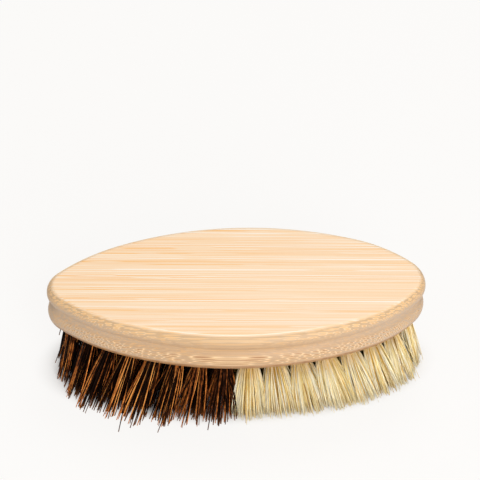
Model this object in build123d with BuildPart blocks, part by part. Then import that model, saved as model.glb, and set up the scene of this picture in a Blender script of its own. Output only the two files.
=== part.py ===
from build123d import *
import math
import os
import random

# The block seen from above, in millimetres: each long side is a flat arc that tightens into a
# shoulder arc towards either end, and a small arc rounds each end
block_width = 60.0
side_arc_radius = 119.8
left_shoulder_radius = 71.6
right_shoulder_radius = 49.7
left_end_radius = 10.3
right_end_radius = 13.1

# The block seen from the end: a round bead, a hollow groove and a second bead
block_thickness = 15.4
top_edge_inset = 2.4
upper_bead_depth = 3.3
upper_shoulder_inset = 0.5
upper_shoulder_depth = 5.0
groove_inset = 1.7
groove_depth = 7.0
lower_shoulder_inset = 0.75
lower_shoulder_depth = 9.0
lower_bead_depth = 11.6
foot_inset = 1.2
rim_reach = 7.0

# The bristle field
bristle_reach = 25.6
tuft_margin = 6.5
left_field_trim = 1.2
right_field_trim = 1.1
split_x = -1.5
middle_row_pitch = 9.0
end_lean = 9.1
side_lean = 3.4
dark_side_lean = 7.5
floor_cut = 0.5

# One tuft in its drilled hole
hole_radius = 2.5
hole_depth = 9.0
hole_overrun = 1.5
tuft_play = 0.1
plug_recess = 0.7
root_bite = 1.5
root_ring_radius = 1.4
tip_ring_long = 3.8
tip_ring_short = 2.7
tip_ring_wide = 4.6
tip_ring_narrow = 3.2
tip_stray = 0.3
tip_short = 2.0
dark_root_radius = 0.55
dark_tip_radius = 0.4
light_root_radius = 0.5
light_tip_radius = 0.35

# The wire staple that holds the fold of a tuft
wire_size = 0.6
staple_span = 3.6
staple_fold = 3.0
staple_bite = 3.0
staple_play = 0.1

# Turns in degrees: from the middle of a side arc to the shoulder, and of the lean at an end
shoulder_turn = 21
lean_turn = 134

# Counts, side counts of a strand, the end gap in pitches, and a seed
outer_dark_per_quarter = 8
inner_dark_per_quarter = 5
middle_dark_tufts = 2
outer_light_per_quarter = 7
inner_light_per_quarter = 5
middle_light_tufts = 3
end_gap_share = 1.3
strands_round_core = 6
standing_strands = 4
dark_sides = 4
light_sides = 3
tip_seed = 7

# Heights above the floor that the bristle tips stand on
underside = bristle_reach
top_face = underside + block_thickness

half_width = block_width / 2
row_gap = (half_width - tuft_margin) / 2
side_arc_drop = side_arc_radius - half_width


def find_end_arcs(shoulder_radius, end_radius):
    # Centres of an end's upper shoulder arc and end arc, as distances from the middle of the side
    # arc, and the angle at which the two arcs meet
    turn = math.radians(shoulder_turn)
    shoulder_run = (side_arc_radius - shoulder_radius) * math.sin(turn)
    shoulder_drop = side_arc_drop - (side_arc_radius - shoulder_radius) * math.cos(turn)
    meeting = math.asin(shoulder_drop / (shoulder_radius - end_radius))
    end_run = shoulder_run + (shoulder_radius - end_radius) * math.cos(meeting)
    return shoulder_run, shoulder_drop, end_run, math.degrees(meeting)


left_arcs = find_end_arcs(left_shoulder_radius, left_end_radius)
right_arcs = find_end_arcs(right_shoulder_radius, right_end_radius)
left_shoulder_run, left_shoulder_drop, left_end_run, left_meeting = left_arcs
right_shoulder_run, right_shoulder_drop, right_end_run, right_meeting = right_arcs

# The block's two ends are equally far from the origin
half_length = (left_end_run + left_end_radius + right_end_run + right_end_radius) / 2
apex_x = left_end_run + left_end_radius - half_length
left_shoulder_x = apex_x - left_shoulder_run
right_shoulder_x = apex_x + right_shoulder_run
left_sweep = 90 - shoulder_turn - left_meeting
right_sweep = 90 - shoulder_turn - right_meeting

# Each arc of the outline: centre, radius, start angle and sweep
outline_arcs = [
    (apex_x, -side_arc_drop, side_arc_radius, 90 - shoulder_turn, 2 * shoulder_turn),
    (left_shoulder_x, -left_shoulder_drop, left_shoulder_radius, 90 + shoulder_turn, left_sweep),
    (apex_x - left_end_run, 0, left_end_radius, 180 - left_meeting, 2 * left_meeting),
    (left_shoulder_x, left_shoulder_drop, left_shoulder_radius, 180 + left_meeting, left_sweep),
    (apex_x, side_arc_drop, side_arc_radius, 270 - shoulder_turn, 2 * shoulder_turn),
    (right_shoulder_x, right_shoulder_drop, right_shoulder_radius, 270 + shoulder_turn, right_sweep),
    (apex_x + right_end_run, 0, right_end_radius, -right_meeting, 2 * right_meeting),
    (right_shoulder_x, -right_shoulder_drop, right_shoulder_radius, right_meeting, right_sweep),
]


def draw_outline(inset):
    for centre_x, centre_y, radius, start, sweep in outline_arcs:
        CenterArc((centre_x, centre_y), radius - inset, start, sweep)


def draw_rim_profile(radius):
    # The rim's section, by its distance from the arc's centre and its height
    top_edge = (radius - top_edge_inset, top_face)
    upper_bead = (radius, top_face - upper_bead_depth)
    upper_shoulder = (radius - upper_shoulder_inset, top_face - upper_shoulder_depth)
    groove = (radius - groove_inset, top_face - groove_depth)
    lower_shoulder = (radius - lower_shoulder_inset, top_face - lower_shoulder_depth)
    lower_bead = (radius, top_face - lower_bead_depth)
    foot = (radius - foot_inset, underside)
    ThreePointArc(top_edge, upper_bead, upper_shoulder)
    ThreePointArc(upper_shoulder, groove, lower_shoulder)
    ThreePointArc(lower_shoulder, lower_bead, foot)
    Polyline(foot, (radius - rim_reach, underside), (radius - rim_reach, top_face), top_edge)


def quarter_points(inset, count, to_right, end_tuft):
    # Evenly spaced points from the split to the end, and the end tuft's own point on the centre line
    if to_right:
        side = 1
        trim = right_field_trim
        shoulder_radius = right_shoulder_radius - inset
        end_radius = right_end_radius - inset
        shoulder_run, shoulder_drop, end_run, meeting = right_arcs
    else:
        side = -1
        trim = left_field_trim
        shoulder_radius = left_shoulder_radius - inset
        end_radius = left_end_radius - inset
        shoulder_run, shoulder_drop, end_run, meeting = left_arcs
    radius = side_arc_radius - inset
    split_angle = math.degrees(math.acos(side * (split_x - apex_x) / radius))
    shoulder_angle = 90 - shoulder_turn
    if end_radius > 0:
        end_reach = end_run + end_radius
    else:
        # So far in, the two shoulder arcs meet on the centre line
        end_reach = shoulder_run + math.sqrt(shoulder_radius**2 - shoulder_drop**2)
        meeting = math.degrees(math.asin(shoulder_drop / shoulder_radius))
    with BuildLine() as path:
        CenterArc((0, -side_arc_drop), radius, split_angle, shoulder_angle - split_angle)
        CenterArc(
            (shoulder_run, -shoulder_drop), shoulder_radius, shoulder_angle, meeting - shoulder_angle
        )
        if end_radius > 0:
            CenterArc((end_run, 0), end_radius, meeting, -meeting)
    line = path.wires()[0]
    length = line.length
    pitch = length / (count - 0.5 + end_gap_share) if end_tuft else length / count
    field_share = 1 - trim / (half_length - tuft_margin)
    points = []
    for number in range(count):
        spot = line.position_at((number + 0.5) * pitch / length)
        points.append(((apex_x + side * spot.X) * field_share, spot.Y))
    return points, ((apex_x + side * end_reach) * field_share, 0)


def half_field(to_right):
    # Roots of the tufts of one half: outer ring, inner ring and middle row
    roots = []
    outer_count = outer_light_per_quarter if to_right else outer_dark_per_quarter
    inner_count = inner_light_per_quarter if to_right else inner_dark_per_quarter
    middle_count = middle_light_tufts if to_right else middle_dark_tufts
    rings = [
        (tuft_margin, outer_count, to_right),
        (tuft_margin + row_gap, inner_count, True),
    ]
    for inset, count, end_tuft in rings:
        points, end_point = quarter_points(inset, count, to_right, end_tuft)
        for x, y in points:
            roots.append((x, -y))
        if end_tuft:
            roots.append(end_point)
        for x, y in reversed(points):
            roots.append((x, y))
    side = 1 if to_right else -1
    for number in range(middle_count):
        roots.append((split_x + side * (number + 0.5) * middle_row_pitch, 0))
    return roots


def tuft_lean(x, y):
    # The lean along the block grows fast near mid-length and stays even near the ends, and where
    # it is strong the dark tufts also lean further out to the sides
    bend = math.sin(math.radians(lean_turn) * x / half_length)
    across = side_lean + dark_side_lean * bend**2 if x < split_x else side_lean
    return end_lean * bend, across * y / half_width


def tuft_frame(x, y):
    # Origin at the mouth of the hole, Z up along the hole, X near the block's length
    lean_x, lean_y = tuft_lean(x, y)
    up = Vector(-lean_x, -lean_y, bristle_reach).normalized()
    across = up.cross(Vector(1, 0, 0)).normalized()
    return Plane(origin=(x, y, underside), x_dir=across.cross(up), z_dir=up)


def strand_offsets():
    # One strand in the core of the tuft and the others round it
    offsets = [(0.0, 0.0)]
    for number in range(strands_round_core):
        angle = 2 * math.pi * (number + 0.5) / strands_round_core
        offsets.append((math.cos(angle), math.sin(angle)))
    return offsets


def plan_tuft(x, y, sides):
    # Start, end and turn of each strand; the first few stand on the floor, past it by the cut
    frame = tuft_frame(x, y)
    lean_x, lean_y = tuft_lean(x, y)
    end_share = (x / half_length) ** 2
    wide_share = (1 - end_share) * min(1, abs(y) / row_gap)
    ring_length = tip_ring_long + (tip_ring_short - tip_ring_long) * end_share
    ring_width = tip_ring_narrow + (tip_ring_wide - tip_ring_narrow) * wide_share
    root_height = plug_recess + root_bite
    strands = []
    for number, (share_x, share_y) in enumerate(strand_offsets()):
        root = Vector(share_x * root_ring_radius, share_y * root_ring_radius, root_height)
        tip_x = x + lean_x + share_x * ring_length + random.uniform(-tip_stray, tip_stray)
        tip_y = y + lean_y + share_y * ring_width + random.uniform(-tip_stray, tip_stray)
        tip_z = -floor_cut if number < standing_strands else random.uniform(0, tip_short)
        turn = random.uniform(0, 360 / sides)
        strands.append((frame.from_local_coords(root), Vector(tip_x, tip_y, tip_z), turn))
    return strands


def make_strand(start, end, root_radius, tip_radius, sides, turn):
    with BuildPart() as strand:
        with BuildSketch(Plane(origin=start)):
            RegularPolygon(root_radius, sides, rotation=turn)
        with BuildSketch(Plane(origin=end)):
            RegularPolygon(tip_radius, sides, rotation=turn)
        loft(ruled=True)
    return strand.part


dark_roots = half_field(False)
light_roots = half_field(True)
frames = [tuft_frame(x, y) for x, y in dark_roots + light_roots]

# Heights along a hole: the staple's crown is under the fold, its legs are in the wood
crown_top = hole_depth - staple_fold
crown_foot = crown_top - wire_size
staple_top = hole_depth + staple_bite
leg_offset = (staple_span - wire_size) / 2
side_planes = [Plane(origin=frame.origin, x_dir=frame.y_dir, z_dir=frame.x_dir) for frame in frames]

# The block: four turned rims round a plain core, with a blind hole and two leg slits a tuft
with BuildPart() as block:
    with BuildSketch(Plane.XY.offset(underside)):
        with BuildLine():
            draw_outline(rim_reach / 2)
        make_face()
    extrude(amount=block_thickness)
    for centre_x, centre_y, radius, start, sweep in outline_arcs:
        outward = (math.cos(math.radians(start)), math.sin(math.radians(start)), 0)
        sideways = (outward[1], -outward[0], 0)
        with BuildSketch(Plane(origin=(centre_x, centre_y, 0), x_dir=outward, z_dir=sideways)):
            with BuildLine():
                draw_rim_profile(radius)
            make_face()
        revolve(axis=Axis((centre_x, centre_y, 0), (0, 0, 1)), revolution_arc=sweep)
    with Locations(*frames):
        with Locations((0, 0, -hole_overrun)):
            Cylinder(
                hole_radius,
                hole_depth + hole_overrun,
                align=(Align.CENTER, Align.CENTER, Align.MIN),
                mode=Mode.SUBTRACT,
            )
        with Locations((0, leg_offset, hole_depth), (0, -leg_offset, hole_depth)):
            Box(
                wire_size,
                wire_size,
                staple_bite,
                align=(Align.CENTER, Align.CENTER, Align.MIN),
                mode=Mode.SUBTRACT,
            )
block.part.label = "block"

# The staples: one bent wire a tuft, its crown across the fold
with BuildPart() as staples:
    with BuildSketch(*side_planes):
        with Locations((0, (crown_foot + staple_top) / 2)):
            Rectangle(staple_span, staple_top - crown_foot)
        with Locations((0, (crown_top + staple_top) / 2)):
            Rectangle(staple_span - 2 * wire_size, staple_top - crown_top, mode=Mode.SUBTRACT)
    extrude(amount=wire_size / 2, both=True)
staples.part.label = "staples"

os.makedirs("parts", exist_ok=True)
export_step(block.part, "parts/block.step")
export_step(staples.part, "parts/staples.step")

# The tufts: a folded bundle pressed into its hole, and strands that fan out to the floor
random.seed(tip_seed)
kinds = [
    ("dark_tuft", dark_roots, dark_root_radius, dark_tip_radius, dark_sides),
    ("light_tuft", light_roots, light_root_radius, light_tip_radius, light_sides),
]
slot_width = staple_span + 2 * staple_play
slot_foot = crown_foot - staple_play
bight_width = staple_span - 2 * wire_size - 2 * staple_play
for kind, roots, root_radius, tip_radius, sides in kinds:
    for number, (x, y) in enumerate(roots):
        frame = tuft_frame(x, y)
        strands = []
        for start, end, turn in plan_tuft(x, y, sides):
            strands.append(make_strand(start, end, root_radius, tip_radius, sides, turn))
        side_plane = Plane(origin=frame.origin, x_dir=frame.y_dir, z_dir=frame.x_dir)
        with BuildPart() as tuft:
            with Locations(frame):
                with Locations((0, 0, plug_recess)):
                    Cylinder(
                        hole_radius - tuft_play,
                        hole_depth - plug_recess,
                        align=(Align.CENTER, Align.CENTER, Align.MIN),
                    )
            with BuildSketch(side_plane):
                with Locations((0, (slot_foot + staple_top) / 2)):
                    Rectangle(slot_width, staple_top - slot_foot)
                with Locations((0, (crown_top + staple_top) / 2)):
                    Rectangle(bight_width, staple_top - crown_top, mode=Mode.SUBTRACT)
            extrude(amount=wire_size / 2 + staple_play, both=True, mode=Mode.SUBTRACT)
            add(strands)
            split(bisect_by=Plane.XY, keep=Keep.TOP)
        name = f"{kind}_{number + 1:02d}"
        tuft.part.label = name
        export_step(tuft.part, f"parts/{name}.step")
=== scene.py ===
import math

import bpy
import numpy as np
from mathutils import Matrix, Vector


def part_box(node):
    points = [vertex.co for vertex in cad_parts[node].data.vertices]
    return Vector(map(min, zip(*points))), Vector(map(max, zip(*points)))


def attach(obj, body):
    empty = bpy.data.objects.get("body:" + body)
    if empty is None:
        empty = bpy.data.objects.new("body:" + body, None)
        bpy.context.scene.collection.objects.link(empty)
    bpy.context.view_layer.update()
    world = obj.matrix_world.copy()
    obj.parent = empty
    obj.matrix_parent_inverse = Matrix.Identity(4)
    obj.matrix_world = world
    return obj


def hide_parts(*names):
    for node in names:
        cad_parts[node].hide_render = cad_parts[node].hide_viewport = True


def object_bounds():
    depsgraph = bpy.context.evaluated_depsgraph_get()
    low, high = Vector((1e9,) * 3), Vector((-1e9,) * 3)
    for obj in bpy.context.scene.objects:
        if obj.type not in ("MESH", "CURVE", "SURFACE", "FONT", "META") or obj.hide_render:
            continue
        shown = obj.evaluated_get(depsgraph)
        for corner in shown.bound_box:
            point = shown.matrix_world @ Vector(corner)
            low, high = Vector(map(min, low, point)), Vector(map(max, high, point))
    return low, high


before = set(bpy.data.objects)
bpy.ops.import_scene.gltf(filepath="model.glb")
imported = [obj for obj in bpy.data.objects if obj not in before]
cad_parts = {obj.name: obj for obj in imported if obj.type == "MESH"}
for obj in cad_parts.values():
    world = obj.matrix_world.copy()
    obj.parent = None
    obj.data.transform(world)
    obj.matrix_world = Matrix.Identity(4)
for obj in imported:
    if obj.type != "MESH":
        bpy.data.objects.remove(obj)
cadLow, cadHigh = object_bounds()
print("palm brush: frame loaded,", len(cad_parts), "nodes")

mm = 0.001
floorZ = cadLow.z
topZ = cadHigh.z
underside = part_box("block")[0].z


# Small helpers for objects and shader trees

def addObject(name, data):
    made = bpy.data.objects.new(name, data)
    bpy.context.scene.collection.objects.link(made)
    return made


def emptyTree(owner):
    # the node tree of a material or a world, with nothing in it
    owner.use_nodes = True
    owner.node_tree.nodes.clear()
    return owner.node_tree


def addNode(tree, kind, inputs=None, **settings):
    # inputs maps a socket's name or number to a value or to another node's output
    node = tree.nodes.new(kind)
    for name, value in settings.items():
        setattr(node, name, value)
    for name, value in (inputs or {}).items():
        if isinstance(value, bpy.types.NodeSocket):
            tree.links.new(value, node.inputs[name])
        else:
            node.inputs[name].default_value = value
    return node


def mathNode(tree, operation, a, b=0.0, c=0.0):
    return addNode(tree, "ShaderNodeMath", {0: a, 1: b, 2: c}, operation=operation).outputs[0]


def product(tree, value, *factors):
    for factor in factors:
        value = mathNode(tree, "MULTIPLY", value, factor)
    return value


def offNode(tree, value, middle):
    # how far value lies from middle, to either side
    return mathNode(tree, "ABSOLUTE", mathNode(tree, "SUBTRACT", value, middle))


def rangeNode(tree, value, low, high, toLow=0.0, toHigh=1.0):
    # a smooth step from toLow at low to toHigh at high
    node = addNode(tree, "ShaderNodeMapRange", {0: value, 1: low, 2: high, 3: toLow, 4: toHigh},
                   interpolation_type="SMOOTHSTEP")
    return node.outputs[0]


def vectorNode(tree, x, y, z=0.0):
    return addNode(tree, "ShaderNodeCombineXYZ", {0: x, 1: y, 2: z}).outputs[0]


def noiseNode(tree, vector, detail=2.0, roughness=0.5, scale=1.0):
    node = addNode(tree, "ShaderNodeTexNoise",
                   {"Vector": vector, "Scale": scale, "Detail": detail, "Roughness": roughness})
    return node.outputs[0]


def mixColour(tree, factor, a, b):
    node = addNode(tree, "ShaderNodeMix", {0: factor, 6: a, 7: b}, data_type="RGBA")
    return node.outputs[2]


def rampNode(tree, factor, stops):
    # stops is a list of (position, colour)
    node = addNode(tree, "ShaderNodeValToRGB", {0: factor})
    ramp = node.color_ramp
    ramp.elements[0].position, ramp.elements[0].color = stops[0]
    ramp.elements[1].position, ramp.elements[1].color = stops[-1]
    for position, colour in stops[1:-1]:
        ramp.elements.new(position).color = colour
    return node.outputs[0]


def newMaterial(name):
    material = bpy.data.materials.new(name)
    tree = emptyTree(material)
    shader = addNode(tree, "ShaderNodeBsdfPrincipled")
    addNode(tree, "ShaderNodeOutputMaterial", {0: shader.outputs[0]})
    return material, tree, shader


def setRoughness(tree, shader, noise, spread, low):
    # low where the noise is 0, and more by the spread where it is 1
    tree.links.new(mathNode(tree, "MULTIPLY_ADD", noise, spread, low), shader.inputs["Roughness"])


def setBump(tree, shader, height, v, **sockets):
    bump = addNode(tree, "ShaderNodeBump",
                   {"Strength": v["bump"], "Distance": v["bumpDepth"] * mm, "Height": height, **sockets})
    tree.links.new(bump.outputs[0], shader.inputs["Normal"])


# The block: laminated bamboo, with its fibre bundles along the length

bamboo = {
    "flesh": (0.965, 0.735, 0.500, 1),
    # also the colour of the painted highlight along the edge of the top face
    "fleshPale": (0.990, 0.880, 0.740, 1),
    "fleshWarm": (0.950, 0.670, 0.415, 1),
    # the sides, darker than the top face: partly the cut across the fibres, partly painted shade
    "shadedSideFlesh": (0.480, 0.312, 0.178, 1),
    "endGrain": (0.470, 0.348, 0.245, 1),
    "shadedFootFlesh": (0.300, 0.142, 0.055, 1),    # the foot of the sides: painted shade
    "rollPaintedShading": (0.535, 0.358, 0.205, 1),    # the rounded edge under the top face, at the front: painted shade
    "litBackRoll": (1.000, 0.740, 0.380, 1),     # and at the back: painted light
    "line": (0.930, 0.460, 0.105, 1),
    "paleLine": (1.000, 0.945, 0.865, 1),
    "halo": (0.900, 0.645, 0.370, 1),
    "core": (0.280, 0.105, 0.030, 1),
    "rollCore": (0.730, 0.410, 0.155, 1),

    # depths in mm under the top face, between which a look comes or goes
    "rollDepth": (1.02, 3.4),        # the rounded edge
    "skinDepth": (1.8, 4.5),         # the skin of the upper ply, where its bundles crowd
    "footDepth": (12.6, 13.8),
    "highlightStart": (0.0, 0.016),       # the edge of the top face, painted pale as a painted highlight
    "highlightEnd": (0.048, 0.16),
    "denseDepth": 10.7,              # the middle of the lower ply's skin
    "denseReach": (1.15, 2.3),       # mm from that middle

    # the same in parts of the normal: upward, backward, and along the grain for the other three
    "topFacing": (0.78, 0.97),
    "backFacing": (0.1, 0.5),
    "endFacing": (0.05, 0.55),
    "skinFacing": (0.05, 0.35),
    "highlightFacing": (0.06, 0.12),

    # the noises that the grain is drawn with: cycles per mm along and across it, and a shift
    "strayNoise": (0.012, 0.05, 0.0),
    "fineNoise": (0.012, 1.9, 0.0),
    "threadNoise": (0.035, 5.5, 7.0),
    "broadNoise": (0.008, 0.30, 3.0),
    "fineCut": (0.59, 0.63),         # from where a noise starts to show to where it is full
    "finePaleCut": (0.42, 0.38),
    "threadCut": (0.55, 0.72),
    "broadCut": (0.32, 0.68),

    "grainTurn": 2.6,                # degrees that the grain runs off the block's length
    "wander": 0.48,                  # mm that a bundle strays at most
    "rowSlope": 0.5,                 # mm that the bundles shift sideways for each mm down
    "bundleRandom": 0.75,
    "bundleGap": 0.85,               # mm between bundles on the sides
    "coreEdge": (0.2025, 0.3105),    # of that gap, from a bundle's middle
    "haloEdge": (0.27, 0.47),
    "skinStrength": (0.3, 0.8),      # of the bundles in the upper skin, on the long sides and at the ends
    "sparse": 0.2,                   # and of those between the skins
    "lineGap": 0.95,                 # mm between the lines that the bundles draw on the top face
    "lineEdge": (0.187, 0.242),      # of that gap, from a line's middle
    "fadeLength": 27.0,              # mm over which a line comes and goes
    "fadeJump": 57.0,                # sets the fading of each line apart from the next one's
    "fadeCut": (0.38, 0.48),
    "faintPicks": (0.2, 0.8),        # share of the lines that are faint, to that of the bold ones
    "faintest": 0.35,
    "paleOffset": 0.36,              # mm from a line's middle to the pale fibre beside it
    "paleEdge": (0.12, 0.18),        # mm from that fibre's middle
    "palePicks": (0.3, 0.6),         # share of the lines that have none, to that of those with a full one
    "streakyReach": (-60.0, 30.0),   # mm along the block, from the boldest lines to the faintest
    "streakyLeast": 0.55,
    "fineMix": (0.25, 0.30),         # on the sides and on the top face
    "finePaleMix": 0.5,
    "threadMix": 0.18,
    "haloMix": 0.85,
    "coreMix": 0.8,
    "paleMix": 0.9,
    "highlightMix": 0.9,

    "edgeRadius": 1.0,               # mm
    "roughLow": 0.32,
    "roughSpread": 0.16,
    "coreRough": 0.2,                # more than the flesh, on a core
    "specular": 0.4,
    "bump": 0.22,
    "bumpDepth": 0.08,               # mm
    "threadHeight": 0.5,             # of the depth of a core
}


def bambooMaterial(v):
    material, tree, shader = newMaterial("bamboo_grain")
    coords = addNode(tree, "ShaderNodeTexCoord").outputs
    inMm = addNode(tree, "ShaderNodeVectorMath", {0: coords["Object"], 1: (1 / mm,) * 3}, operation="MULTIPLY")

    def alongGrain(vector):
        turned = addNode(tree, "ShaderNodeVectorRotate",
                         {"Vector": vector, "Angle": math.radians(v["grainTurn"])}, rotation_type="Z_AXIS")
        return addNode(tree, "ShaderNodeSeparateXYZ", {0: turned.outputs[0]}).outputs

    def stretched(alongScale, acrossScale, shift):
        # noise coordinates drawn out along the fibres
        return vectorNode(tree, mathNode(tree, "MULTIPLY_ADD", x, alongScale, shift),
                          product(tree, y, acrossScale), product(tree, z, acrossScale))

    x, y, z = alongGrain(inMm.outputs[0])
    depth = mathNode(tree, "SUBTRACT", topZ / mm, z)
    facing = alongGrain(coords["Normal"])
    lengthways = mathNode(tree, "ABSOLUTE", facing[0])
    onTop = rangeNode(tree, facing[2], *v["topFacing"])

    # the section that the bundles stand in: sideways and up, sheared, with a slow stray along the length
    stray = addNode(tree, "ShaderNodeTexNoise",
                    {"Vector": stretched(*v["strayNoise"]), "Scale": 1.0, "Detail": 1.0})
    strays = addNode(tree, "ShaderNodeSeparateColor", {0: stray.outputs[1]}).outputs
    row = mathNode(tree, "MULTIPLY_ADD", strays[1], v["wander"], z)
    column = mathNode(tree, "MULTIPLY_ADD", strays[0], v["wander"], y)
    section = vectorNode(tree, mathNode(tree, "MULTIPLY_ADD", row, v["rowSlope"], column), row)

    def bundles(gap):
        return addNode(tree, "ShaderNodeTexVoronoi",
                       {"Vector": section, "Scale": 1 / gap, "Randomness": v["bundleRandom"]},
                       voronoi_dimensions="2D").outputs

    # on the sides each one is a dark core in a pale sheath
    distance = bundles(v["bundleGap"])["Distance"]
    core = rangeNode(tree, distance, *v["coreEdge"], 1.0, 0.0)
    halo = rangeNode(tree, distance, *v["haloEdge"], 1.0, 0.0)

    # on the top face it is a line that comes and goes, with a pale fibre beside it
    cut = bundles(v["lineGap"])
    picks = addNode(tree, "ShaderNodeSeparateColor", {0: cut["Color"]}).outputs
    fadePlace = vectorNode(tree, mathNode(tree, "DIVIDE", x, v["fadeLength"]),
                           product(tree, picks[0], v["fadeJump"]))
    fade = product(tree, rangeNode(tree, noiseNode(tree, fadePlace, 1.0), *v["fadeCut"]),
                   rangeNode(tree, picks[1], *v["faintPicks"], v["faintest"], 1.0))
    line = rangeNode(tree, cut["Distance"], *v["lineEdge"], 1.0, 0.0)
    middle = addNode(tree, "ShaderNodeVectorMath", {0: section, 1: cut["Position"]}, operation="SUBTRACT")
    aside = addNode(tree, "ShaderNodeSeparateXYZ", {0: middle.outputs[0]}).outputs[0]
    pale = product(tree, rangeNode(tree, offNode(tree, aside, v["paleOffset"]), *v["paleEdge"], 1.0, 0.0),
                   rangeNode(tree, picks[2], *v["palePicks"]))

    # they crowd in the skin of each ply
    skin = product(tree, rangeNode(tree, depth, *v["skinDepth"], 1.0, 0.0),
                   rangeNode(tree, lengthways, *v["skinFacing"], *v["skinStrength"]))
    band = rangeNode(tree, offNode(tree, depth, v["denseDepth"]), *v["denseReach"], 1.0, 0.0)
    dense = rangeNode(tree, mathNode(tree, "MAXIMUM", skin, band), 0.0, 1.0, v["sparse"], 1.0)

    # finer fibres between them, orange and pale
    fine = noiseNode(tree, stretched(*v["fineNoise"]), 1.0, 0.4)
    finePale = rangeNode(tree, fine, *v["finePaleCut"])
    thread = noiseNode(tree, stretched(*v["threadNoise"]), 1.0)
    broad = noiseNode(tree, stretched(*v["broadNoise"]))

    # the flesh is orange where the cut runs with the fibres, and a grey tan where it crosses them; the sides
    # carry painted shade as well
    flesh = mixColour(tree, rangeNode(tree, broad, *v["broadCut"]), v["fleshWarm"], v["flesh"])
    flesh = mixColour(tree, product(tree, finePale, v["finePaleMix"]), flesh, v["fleshPale"])
    shadedSideFlesh = mixColour(tree, rangeNode(tree, lengthways, *v["endFacing"]), v["shadedSideFlesh"], v["endGrain"])
    # painted shade: the sides darken towards their foot
    shadedSideFlesh = mixColour(tree, rangeNode(tree, depth, *v["footDepth"]), shadedSideFlesh, v["shadedFootFlesh"])
    # the rounded edge: painted shade at the front, painted light at the back
    rollPaintedShading = mixColour(tree, rangeNode(tree, facing[1], *v["backFacing"]), v["rollPaintedShading"], v["litBackRoll"])
    roll = rangeNode(tree, depth, *v["rollDepth"], 1.0, 0.0)
    shadedSideFlesh = mixColour(tree, roll, shadedSideFlesh, rollPaintedShading)
    colour = mixColour(tree, onTop, shadedSideFlesh, flesh)

    # the marks, each over those before it, and last a painted highlight along the edge of the top face
    streaky = rangeNode(tree, x, *v["streakyReach"], 1.0, v["streakyLeast"])
    onSide = product(tree, mathNode(tree, "SUBTRACT", 1.0, onTop), dense)
    coreMask = product(tree, core, onSide)
    fineLine = product(tree, rangeNode(tree, fine, *v["fineCut"]), streaky)
    marks = [
        (product(tree, fineLine, rangeNode(tree, onTop, 0.0, 1.0, *v["fineMix"])), v["line"]),
        (product(tree, rangeNode(tree, thread, *v["threadCut"]), v["threadMix"]), v["line"]),
        (product(tree, halo, onSide, v["haloMix"]), v["halo"]),
        (product(tree, coreMask, v["coreMix"]), mixColour(tree, roll, v["core"], v["rollCore"])),
        (product(tree, pale, fade, onTop, v["paleMix"]), v["paleLine"]),
        (product(tree, line, fade, onTop, streaky), v["line"]),
        # painted highlight: a pale line along the edge of the top face
        (product(tree, rangeNode(tree, depth, *v["highlightEnd"], 1.0, 0.0), rangeNode(tree, depth, *v["highlightStart"]),
                 rangeNode(tree, lengthways, *v["highlightFacing"], v["highlightMix"], 0.0)), v["fleshPale"]),
    ]
    for mask, markColour in marks:
        colour = mixColour(tree, mask, colour, markColour)
    tree.links.new(colour, shader.inputs["Base Color"])

    roughLow = mathNode(tree, "MULTIPLY_ADD", coreMask, v["coreRough"], v["roughLow"])
    setRoughness(tree, shader, thread, v["roughSpread"], roughLow)
    shader.inputs["Specular IOR Level"].default_value = v["specular"]
    height = mathNode(tree, "SUBTRACT", product(tree, thread, v["threadHeight"]), coreMask)
    rounded = addNode(tree, "ShaderNodeBevel", {"Radius": v["edgeRadius"] * mm}, samples=4)
    setBump(tree, shader, height, v, Normal=rounded.outputs[0])
    return material


# The staples: drawn steel wire

steel = {
    "colour": (0.56, 0.57, 0.58, 1),
    "drawnColour": (0.34, 0.34, 0.35, 1),     # in the lines that the die has drawn
    "lineScale": 900.0,
    "lineCut": (0.3, 0.7),
    "roughLow": 0.22,
    "roughSpread": 0.25,
    "bump": 0.2,
    "bumpDepth": 0.02,       # mm
}


def steelMaterial(v):
    material, tree, shader = newMaterial("drawn_wire")
    place = addNode(tree, "ShaderNodeTexCoord").outputs["Object"]
    lines = noiseNode(tree, place, 4.0, 0.7, v["lineScale"])
    colour = mixColour(tree, rangeNode(tree, lines, *v["lineCut"]), v["colour"], v["drawnColour"])
    tree.links.new(colour, shader.inputs["Base Color"])
    setRoughness(tree, shader, lines, v["roughSpread"], v["roughLow"])
    shader.inputs["Metallic"].default_value = 1.0
    setBump(tree, shader, lines, v)
    return material


# The fibres: a tone for each fibre and a colour along it, darker near the hole as painted shade, both read from
# the tuft's own map

fibreMap = {
    "tones": 32,             # columns of the map
    "margin": 0.2,           # of a column's width, left empty at each side
    "tip": 0.03,             # height of a tip on the map
    "outside": 0.85,         # height from a tip to where its fibre leaves the wood
    "fold": (0.92, 0.95, 0.98, 0.95, 0.92),
    "cap": (0.008, 0.016),   # height of the cap on a tip, and how far it reaches up
}
fibreGrain = {
    "patchJump": 311.0,      # sets the patches of each tone apart from the next one's
    "patchesAlong": 9.0,
    "patchCut": (0.3, 0.7),
    "patchShift": (-0.14, 0.14),     # of the tone, in a dark patch and in a pale one
    "tipStart": 0.02,
    "tipCut": (0.35, 0.6),
    "tipLeast": 0.3,         # of the tip's colour, in the patches that take it least
    "rootShadeStart": 0.45,
    "ridges": (5.0, 40.0),   # across a tone's column and along a fibre
    "roughLow": 0.35,
    "roughSpread": 0.3,
    "bump": 0.25,
    "bumpDepth": 0.03,       # mm
}
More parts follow.
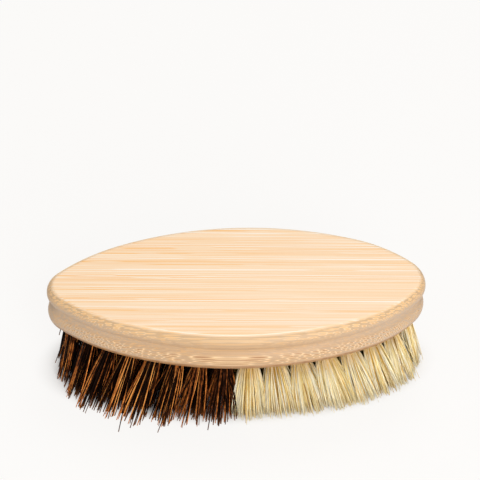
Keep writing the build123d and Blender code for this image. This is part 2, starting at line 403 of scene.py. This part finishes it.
darkLook = {
    **fibreGrain,
    # from the darkest fibres to the palest
    "tones": [(0.0, (0.002, 0.001, 0.001, 1)), (0.46, (0.010, 0.003, 0.001, 1)),
              (0.56, (0.060, 0.016, 0.005, 1)), (0.68, (0.270, 0.073, 0.016, 1)),
              (0.84, (0.720, 0.235, 0.048, 1)), (1.0, (0.920, 0.400, 0.100, 1))],
    "tip": (0.66, 0.22, 0.05, 1),
    # painted shade near the mouth of the hole
    "root": (0.010, 0.003, 0.001, 1),
    "tipMix": 0.42,
    "tipRun": 0.16,          # how far up the map the tip's colour reaches
    "rootShadeMix": 0.4,
    "specular": 0.03,
}
lightLook = {
    **fibreGrain,
    "tones": [(0.0, (0.42, 0.18, 0.010, 1)), (0.25, (0.84, 0.51, 0.09, 1)),
              (0.5, (0.99, 0.80, 0.35, 1)), (1.0, (0.99, 0.95, 0.78, 1))],
    "tip": (0.99, 0.88, 0.62, 1),
    # painted shade near the mouth of the hole
    "root": (0.50, 0.25, 0.030, 1),
    "tipMix": 0.30,
    "tipRun": 0.45,
    "rootShadeMix": 0.72,
    "specular": 0.15,
}


def fibreMaterial(name, v):
    material, tree, shader = newMaterial(name)
    place = addNode(tree, "ShaderNodeUVMap", uv_map="OFBake").outputs[0]
    across, run, _ = addNode(tree, "ShaderNodeSeparateXYZ", {0: place}).outputs
    column = product(tree, across, fibreMap["tones"])
    middle = mathNode(tree, "ADD", mathNode(tree, "FLOOR", column), 0.5)
    tone = mathNode(tree, "DIVIDE", middle, fibreMap["tones"])
    patchPlace = vectorNode(tree, product(tree, tone, v["patchJump"]), product(tree, run, v["patchesAlong"]))
    patch = noiseNode(tree, patchPlace, 3.0, 0.6)
    shift = rangeNode(tree, patch, *v["patchCut"], *v["patchShift"])
    colour = rampNode(tree, mathNode(tree, "ADD", tone, shift), v["tones"])
    tipMask = product(tree, rangeNode(tree, run, v["tipStart"], v["tipRun"], v["tipMix"], 0.0),
                      rangeNode(tree, patch, *v["tipCut"], v["tipLeast"], 1.0))
    colour = mixColour(tree, tipMask, colour, v["tip"])
    # painted shade: the fibres darken towards the mouth of the hole
    rootShadeMask = rangeNode(tree, run, v["rootShadeStart"], fibreMap["outside"], 0.0, v["rootShadeMix"])
    colour = mixColour(tree, rootShadeMask, colour, v["root"])
    tree.links.new(colour, shader.inputs["Base Color"])
    setRoughness(tree, shader, patch, v["roughSpread"], v["roughLow"])
    shader.inputs["Specular IOR Level"].default_value = v["specular"]
    ridgesAcross, ridgesAlong = v["ridges"]
    ridgePlace = vectorNode(tree, product(tree, column, ridgesAcross), product(tree, run, ridgesAlong))
    setBump(tree, shader, noiseNode(tree, ridgePlace), v)
    return material


# The tufts: folded fibres that hang over the staple, leave the hole together and splay to the floor

darkTuft = {
    "foldedFibres": 62,       # each shows both its ends
    "sides": 4,
    "steps": 5,               # rings from the mouth of the hole to a tip
    "bundleRadius": 2.15,     # mm, at the mouth
    "thickness": (0.34, 0.60),        # mm
    "tipShare": 0.6,          # of the thickness
    "fanLong": 1.5,           # how far the tips spread along the rim, in spreads of the CAD strands
    "fanWide": 1.5,           # and out from it
    "endReach": 58.5,         # mm from the middle of the block; past it a tip goes only the end share
    "endShare": 0.55,
    "scatter": 0.7,           # mm that a tip lies off its place in the fan
    "straight": 1.3,          # 1 for straight fibres; with more they bulge out, with less they follow the hole
    "bow": 0.3,               # mm
    "kink": 0.18,             # mm
    "strayShare": 0.09,       # of the tips
    "strayReach": 5.6,        # mm
    "uneven": 0.8,            # mm that a tip ends above the floor, on average and at most
    "unevenMost": 5.0,
    "clumps": 12,
    "clumpPull": 0.3,         # share of the way to its clump's middle that a tip goes at most
    "toneSpread": (0.47, 0.28),       # middle and spread of the tones
    "paintedShadeInside": 0.0,        # how much darker the fibres at the heart of a tuft are: painted shade
    "paintedShadeMiddle": 0.0,        # and those of the tufts in the middle of the block: painted shade
    "seed": 5,
}
lightTuft = {
    "foldedFibres": 200,
    "sides": 3,
    "steps": 4,
    "bundleRadius": 2.4,
    "thickness": (0.24, 0.38),
    "tipShare": 0.6,
    "fanLong": 2.0,
    "fanWide": 0.90,
    "endReach": 64.5,
    "endShare": 0.7,
    "scatter": 0.55,
    "straight": 1.6,
    "bow": 0.2,
    "kink": 0.07,
    "strayShare": 0.04,
    "strayReach": 2.8,
    "uneven": 0.6,
    "unevenMost": 3.5,
    "clumps": 16,
    "clumpPull": 0.35,
    "toneSpread": (0.78, 0.28),
    # painted shade at the heart of each tuft and in the tufts in the middle of the block
    "paintedShadeInside": 0.55,
    "paintedShadeMiddle": 0.45,
    "seed": 6,
}
allTufts = {
    "capDepth": 1.9,          # mm under a CAD tuft's highest point that belongs to its flat top
    "tipHeight": 2.4,         # mm over the floor that belongs to its tips
    "ringShare": (0.50, 0.74),        # of the block's oval: where inner tufts end, and outer ones start
    "leastPull": 0.2,         # of the clump pull
    "tipLift": 0.05,          # mm, the least that a tip ends above the floor
    "crownTop": 6.0,          # mm from the mouth of the hole up to the staple's crown
    "legInside": 1.1,         # mm from the hole's axis to a leg of the staple
    "foldLeast": 0.5,         # mm, the radius of the tightest fold
    "foldRise": 1.15,         # height of a fold over its radius
    "foldRoom": 2.6,          # mm over the crown
}


def tuftHole(nodeName):
    # the CAD tuft's flat top and the mean of its tips give the hole's axis; its mouth is at the underside
    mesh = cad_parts[nodeName].data
    points = np.empty(len(mesh.vertices) * 3)
    mesh.vertices.foreach_get("co", points)
    points = points.reshape(-1, 3) / mm
    cap = points[points[:, 2] > points[:, 2].max() - allTufts["capDepth"]]
    capCentre = (cap.min(0) + cap.max(0)) / 2
    tips = points[points[:, 2] < allTufts["tipHeight"]]
    foot = tips.mean(0)
    up = (capCentre - foot) / np.linalg.norm(capCentre - foot)
    mouth = foot + up * (underside / mm - foot[2]) / up[2]
    across = np.cross(up, (1.0, 0.0, 0.0))
    across /= np.linalg.norm(across)
    # the rim's direction beside the tuft, taken as that of an oval of the block's size
    low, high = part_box("block")
    half = np.array((high.x - low.x, high.y - low.y)) / 2 / mm
    out = foot[:2] / half ** 2
    out /= np.linalg.norm(out)
    # 1 for a tuft well inside the block, 0 for one of the outer ring
    inmost, outmost = allTufts["ringShare"]
    inner = np.clip((outmost - np.linalg.norm(mouth[:2] / half)) / (outmost - inmost), 0, 1)
    return {"mouth": mouth, "up": up, "along": np.cross(across, up), "across": across,
            "spread": np.ptp(tips, axis=0)[:2] / 2, "rim": np.array([(-out[1], out[0]), out]), "inner": inner}


def fibreLines(hole, v, rng):
    # centre line of each fibre: from a tip to the mouth of the hole, up to the staple, over it in a half circle
    # and down again to the other tip
    mouth, up, along, across, rim = (hole[name] for name in ("mouth", "up", "along", "across", "rim"))
    count = v["foldedFibres"]
    angle = rng.uniform(-math.pi / 2, math.pi / 2, count)
    share = np.sqrt(rng.uniform(0, 1, count))
    a = share * np.cos(angle)
    b = share * np.sin(angle)
    sign = np.array([1.0, -1.0])
    root = np.stack([a[:, None] * sign, np.repeat(b[:, None], 2, 1)], -1)

    # tips spread over the floor, gather in clumps, and a few stray
    fan = hole["spread"] * (v["fanLong"], v["fanWide"])
    tip = root @ rim.T * fan + rng.normal(0, v["scatter"], (count, 2, 2))
    middles = rng.uniform(-1, 1, (v["clumps"], 2)) * fan
    nearest = np.linalg.norm(tip[:, :, None] - middles, axis=-1).argmin(-1)
    tip += (middles[nearest] - tip) * v["clumpPull"] * rng.uniform(allTufts["leastPull"], 1.0, (count, 2, 1))
    strays = rng.uniform(0, 1, (count, 2, 1)) < v["strayShare"]
    tip += strays * rng.uniform(-v["strayReach"], v["strayReach"], (count, 2, 2))
    tip = tip @ rim
    height = np.minimum(rng.exponential(v["uneven"], (count, 2)), v["unevenMost"]) + allTufts["tipLift"]
    reach = 1 - height / mouth[2]
    footPoint = mouth - up * mouth[2] / up[2]
    tipPoint = np.empty((count, 2, 3))
    tipPoint[..., :2] = mouth[:2] + (footPoint[:2] - mouth[:2] + tip) * reach[..., None]
    past = np.maximum(np.abs(tipPoint[..., 0]) - v["endReach"], 0)
    tipPoint[..., 0] -= np.sign(tipPoint[..., 0]) * past * (1 - v["endShare"])
    tipPoint[..., 2] = height
    rootPoint = mouth + v["bundleRadius"] * (root[..., :1] * along + root[..., 1:] * across)

    # from the mouth to a tip: a curve through a middle point, with a bow and a kink
    s = np.linspace(0, 1, v["steps"] + 1)[None, None, :, None]
    start = rootPoint[:, :, None]
    end = tipPoint[:, :, None]
    down = -up * np.linalg.norm(end - start, axis=-1, keepdims=True) / 2
    middle = start + v["straight"] * (end - start) / 2 + (1 - v["straight"]) * down
    outside = (1 - s) ** 2 * start + 2 * s * (1 - s) * middle + s ** 2 * end
    bow = rng.normal(0, v["bow"], (count, 2, 1, 3)) * (1, 1, 0)
    kink = rng.normal(0, v["kink"], (count, 2, 1, 3)) * (1, 1, 0)
    outside = outside + bow * np.sin(math.pi * s) + kink * np.sin(2 * math.pi * s)

    # over the staple's crown, between its legs
    turn = np.linspace(0, math.pi, len(fibreMap["fold"]))[None, :, None]
    loop = np.maximum(a * v["bundleRadius"], allTufts["foldLeast"])[:, None, None]
    rise = np.minimum(loop * allTufts["foldRise"], allTufts["foldRoom"])
    fold = (mouth + np.cos(turn) * loop * along + (b * allTufts["legInside"])[:, None, None] * across
            + (allTufts["crownTop"] + np.sin(turn) * rise) * up)
    line = np.concatenate([outside[:, 0, ::-1], fold, outside[:, 1]], 1)

    # each ring's height on the map, and its radius
    fromMouth = s[0, 0, :, 0]
    outRun = fibreMap["outside"] * (1 - fromMouth) + fibreMap["tip"]
    run = np.concatenate([outRun[::-1], fibreMap["fold"], outRun])
    thin = 1 - (1 - v["tipShare"]) * fromMouth
    taper = np.concatenate([thin[::-1], np.ones(len(fibreMap["fold"])), thin])
    radius = rng.uniform(*v["thickness"], (count, 1)) / 2 * taper
    return line, run, radius, share


def tubeMesh(name, line, run, radius, across, sides, tone):
    # a tube round each line: rings square to it, quads between rings, and a flat cap at each tip
    count, rings, _ = line.shape
    tangent = np.gradient(line, axis=1)
    tangent /= np.linalg.norm(tangent, axis=-1, keepdims=True)
    sideA = np.cross(tangent, across)
    sideA /= np.linalg.norm(sideA, axis=-1, keepdims=True)
    sideB = np.cross(tangent, sideA)
    turn = 2 * math.pi * np.arange(sides) / sides
    ring = np.cos(turn)[:, None] * sideA[:, :, None] + np.sin(turn)[:, None] * sideB[:, :, None]
    points = line[:, :, None] + radius[:, :, None, None] * ring

    fibre = np.arange(count)[:, None, None]
    level = np.arange(rings - 1)[None, :, None]
    corner = np.arange(sides)[None, None, :]

    def vertex(ringNumber, cornerNumber):
        return (fibre * rings + ringNumber) * sides + cornerNumber % sides

    quads = np.stack([vertex(level, corner), vertex(level, corner + 1),
                      vertex(level + 1, corner + 1), vertex(level + 1, corner)], -1).reshape(-1, 4)
    first = vertex(0, corner[..., ::-1]).reshape(-1, sides)
    last = vertex(rings - 1, corner).reshape(-1, sides)
    loops = np.concatenate([quads.ravel(), first.ravel(), last.ravel()])
    starts = np.concatenate([np.arange(len(quads)) * 4, len(quads) * 4 + np.arange(2 * count) * sides])

    # the map: a column for each tone, with the tube's faces side by side in it, and height along the fibre
    faceWidth = (1 - 2 * fibreMap["margin"]) / sides
    faceLeft = (tone[:, None] + fibreMap["margin"] + faceWidth * np.arange(sides)) / fibreMap["tones"]
    capLow, capReach = fibreMap["cap"]
    capHeight = np.broadcast_to(capLow + capReach * (np.arange(sides) % 2), faceLeft.shape)
    capMap = np.stack([faceLeft, capHeight], -1).reshape(-1, 2)
    left = np.broadcast_to(faceLeft[:, None], (count, rings - 1, sides))
    right = left + faceWidth / fibreMap["tones"]
    low = np.broadcast_to(run[:-1, None], left.shape)
    high = np.broadcast_to(run[1:, None], left.shape)
    quadMap = np.stack([left, low, right, low, right, high, left, high], -1).reshape(-1, 2)
    mapPoints = np.concatenate([quadMap, capMap, capMap])

    mesh = bpy.data.meshes.new(name)
    mesh.vertices.add(points.size // 3)
    mesh.vertices.foreach_set("co", (points * mm).ravel())
    mesh.loops.add(len(loops))
    mesh.loops.foreach_set("vertex_index", loops)
    mesh.polygons.add(len(starts))
    mesh.polygons.foreach_set("loop_start", starts)
    mesh.polygons.foreach_set("use_smooth", np.ones(len(starts), bool))
    mesh.uv_layers.new(name="OFBake").data.foreach_set("uv", mapPoints.ravel())
    mesh.update(calc_edges=True)
    mesh.validate()
    return mesh


def makeTuft(nodeName, v, material, number):
    rng = np.random.default_rng([v["seed"], number])
    hole = tuftHole(nodeName)
    line, run, radius, share = fibreLines(hole, v, rng)
    tone = rng.normal(*v["toneSpread"], len(line))
    # painted shade: fibres at the heart of a tuft, and the tufts in the middle of the block, get darker tones
    tone -= v["paintedShadeInside"] * (1 - share) + v["paintedShadeMiddle"] * hole["inner"]
    tone = np.floor(np.clip(tone, 0, 0.999) * fibreMap["tones"])
    mesh = tubeMesh(nodeName + "_fibres", line, run, radius, hole["across"], v["sides"], tone)
    mesh.materials.append(material)
    tuft = addObject(nodeName + "_fibres", mesh)
    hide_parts(nodeName)
    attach(tuft, "root")


# Build

for nodeName, material in (("block", bambooMaterial(bamboo)), ("staples", steelMaterial(steel))):
    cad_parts[nodeName].data.materials.clear()
    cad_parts[nodeName].data.materials.append(material)
print("palm brush: bamboo and steel ready")

darkMaterial = fibreMaterial("dark_palm_fibre", darkLook)
lightMaterial = fibreMaterial("pale_plant_fibre", lightLook)
for number, nodeName in enumerate(sorted(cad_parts)):
    if nodeName.startswith("dark_tuft"):
        makeTuft(nodeName, darkTuft, darkMaterial, number)
    if nodeName.startswith("light_tuft"):
        makeTuft(nodeName, lightTuft, lightMaterial, number)
print("palm brush: tufts ready")


# Stage: a pale floor that shows almost white, and takes the brush's shadow near it and under it

stage = {
    "floorHalf": 4.0,             # metres
    "floorColour": (0.86, 0.85, 0.84, 1),
    "backdrop": (1.000, 0.988, 0.972, 1),
    "shadowShare": 0.14,
    "underLength": 66.0 * mm,     # half lengths of the oval under the bristles, where the floor is all matte
    "underWidth": 28.0 * mm,
    "underEdge": (0.9, 1.15),     # of those lengths, from all matte to the shadow's share of it
    "ambient": 0.55,
}


def seenRays(tree):
    # 1 for rays from the camera, and for those that metal and glass send on
    path = addNode(tree, "ShaderNodeLightPath").outputs
    seen = mathNode(tree, "MAXIMUM", path["Is Camera Ray"], path["Is Glossy Ray"])
    return mathNode(tree, "MAXIMUM", seen, path["Is Transmission Ray"])


def mixShaders(tree, share, a, b, outputKind):
    mixed = addNode(tree, "ShaderNodeMixShader", {0: share, 1: a.outputs[0], 2: b.outputs[0]})
    addNode(tree, outputKind, {0: mixed.outputs[0]})


def makeFloor(v):
    half = v["floorHalf"]
    mesh = bpy.data.meshes.new("floor")
    corners = [(-half, -half, floorZ), (half, -half, floorZ), (half, half, floorZ), (-half, half, floorZ)]
    mesh.from_pydata(corners, [], [(0, 1, 2, 3)])
    material = bpy.data.materials.new("pale_floor")
    tree = emptyTree(material)
    matte = addNode(tree, "ShaderNodeBsdfDiffuse", {"Color": v["floorColour"]})
    glow = addNode(tree, "ShaderNodeEmission", {"Color": v["backdrop"], "Strength": 1.0})
    x, y, _ = addNode(tree, "ShaderNodeSeparateXYZ",
                      {0: addNode(tree, "ShaderNodeTexCoord").outputs["Object"]}).outputs
    along = mathNode(tree, "DIVIDE", x, v["underLength"])
    across = mathNode(tree, "DIVIDE", y, v["underWidth"])
    away = mathNode(tree, "SQRT", mathNode(tree, "MULTIPLY_ADD", along, along, product(tree, across, across)))
    share = product(tree, seenRays(tree), rangeNode(tree, away, *v["underEdge"], 0.0, 1 - v["shadowShare"]))
    mixShaders(tree, share, matte, glow, "ShaderNodeOutputMaterial")
    mesh.materials.append(material)
    floor = addObject("floor", mesh)


def makeWorld(v):
    world = bpy.data.worlds.new("studio")
    tree = emptyTree(world)
    light = addNode(tree, "ShaderNodeBackground", {"Color": (1, 1, 1, 1), "Strength": v["ambient"]})
    shown = addNode(tree, "ShaderNodeBackground", {"Color": v["backdrop"], "Strength": 1.0})
    mixShaders(tree, seenRays(tree), light, shown, "ShaderNodeOutputWorld")
    bpy.context.scene.world = world


lamps = {                     # metres and watts
    "key": {"place": (0.10, -0.58, 0.56), "size": 0.36, "power": 1.8, "colour": (1.0, 0.985, 0.965)},
    "front": {"place": (0.22, -0.74, 0.20), "size": 0.40, "power": 3.0, "colour": (1.0, 0.985, 0.965)},
    "rim": {"place": (0.10, 0.45, 0.86), "size": 0.40, "power": 1.8, "colour": (1.0, 1.0, 1.0)},
}


def addLamp(name, v):
    light = bpy.data.lights.new(name, "AREA")
    light.shape = "SQUARE"
    light.size = v["size"]
    light.energy = v["power"]
    light.color = v["colour"]
    lamp = addObject(name, light)
    lamp.location = v["place"]
    lamp.rotation_euler = (Vector((0, 0, topZ)) - Vector(v["place"])).to_track_quat("-Z", "Y").to_euler()


# Camera: it looks at the middle of the top face

view = {
    "lens": 130.237,
    "sensor": 36,             # mm wide
    "clipStart": 0.01,
    "azimuth": -4.291,        # degrees, as the next two
    "elevation": 41.609,
    "roll": 1.485,
    "distance": 0.616076,     # metres from the middle of the top face, as the next two
    "right": 0.000966,
    "up": 0.014217,
}


def makeCamera(v):
    azimuth, elevation, roll = (math.radians(v[name]) for name in ("azimuth", "elevation", "roll"))
    back = Vector((math.sin(azimuth) * math.cos(elevation), -math.cos(azimuth) * math.cos(elevation),
                   math.sin(elevation)))
    level = Vector((math.cos(azimuth), math.sin(azimuth), 0))
    upright = back.cross(level)
    right = level * math.cos(roll) + upright * math.sin(roll)
    up = upright * math.cos(roll) - level * math.sin(roll)
    data = bpy.data.cameras.new("camera")
    data.sensor_width = v["sensor"]
    data.lens = v["lens"]
    data.clip_start = v["clipStart"]
    camera = addObject("camera", data)
    place = Vector((0, 0, topZ)) + right * v["right"] + up * v["up"] + back * v["distance"]
    camera.matrix_world = Matrix.Translation(place) @ Matrix((right, up, back)).transposed().to_4x4()
    bpy.context.scene.camera = camera


makeFloor(stage)
makeWorld(stage)
for name, lamp in lamps.items():
    addLamp(name, lamp)
makeCamera(view)
bpy.context.scene.view_settings.view_transform = "Standard"
print("palm brush: stage, lamps and camera ready")
